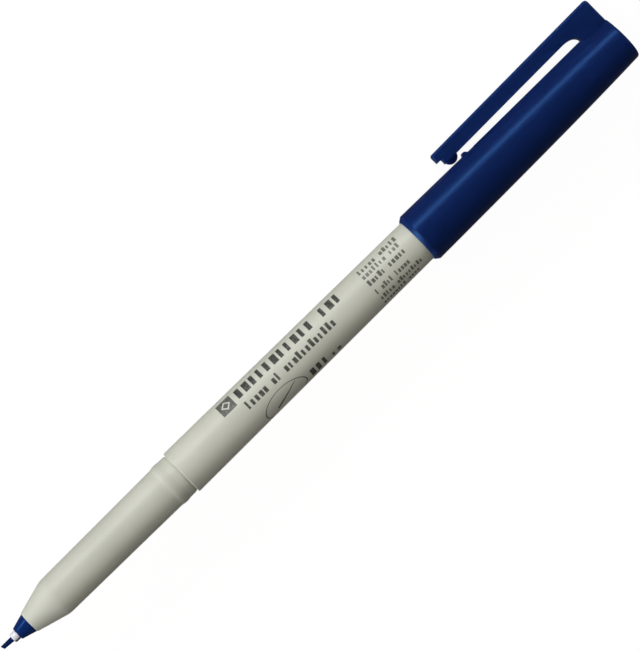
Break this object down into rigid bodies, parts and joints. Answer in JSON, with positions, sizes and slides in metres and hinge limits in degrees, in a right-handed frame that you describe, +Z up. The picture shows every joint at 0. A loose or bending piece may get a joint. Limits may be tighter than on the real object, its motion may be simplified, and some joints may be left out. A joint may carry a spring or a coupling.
{
  "type": "calligraphy marker",
  "caption": "Calligraphy marker with a slanted chisel nib in a small blue nose cone, a tapering beige barrel with a stepped grip, and a navy clip cap pushed on to its tail.",
  "frame": {"origin": "on the surface that the pen lies on, under the centre of its box", "axes": "+X along the pen's axis, from the nib towards the closed end of the cap; +Z up, off the surface; the clip leans down towards +Y until it meets the surface"},
  "size_m": [0.1552, 0.0148, 0.0103],
  "materials": {
    "beige_plastic": "satin moulded plastic, warm light grey-beige",
    "blue_plastic": "satin moulded plastic, deep blue",
    "navy_plastic": "satin gloss moulded plastic, navy",
    "white_plastic": "smooth moulded plastic, milky white",
    "nib_fibre": "porous plastic soaked with dark blue ink",
    "wick_fibre": "bonded fibre soaked with ink",
    "ink_fibre": "bonded fibre soaked with ink",
    "clear_film": "thin glossy film"
  },
  "bodies": {
    "barrel": {"barrel": "beige_plastic", "front_section": "beige_plastic", "tail_plug": "beige_plastic", "nib_holder": "blue_plastic", "nib_sleeve": "white_plastic", "nib": "nib_fibre", "feed_wick": "wick_fibre", "reservoir": "ink_fibre", "reservoir_wrap": "clear_film"},
    "cap": {"cap_shell": "navy_plastic", "inner_cap": "white_plastic"},
    "clip": {"cap_clip": "navy_plastic"}
  },
  "joints": [
    {"name": "cap_pull", "type": "slide", "parent": "barrel", "child": "cap", "axis": [1, 0, 0], "range_m": [0, 0.03]},
    {"name": "clip_flex", "type": "hinge", "parent": "cap", "child": "clip", "pos_m": [0.0691, 0.00524, 0.00224], "axis": [0, -0.3642, -0.9313], "range_deg": [0, 4], "stiffness_Nm_per_rad": 1.5}
  ]
}
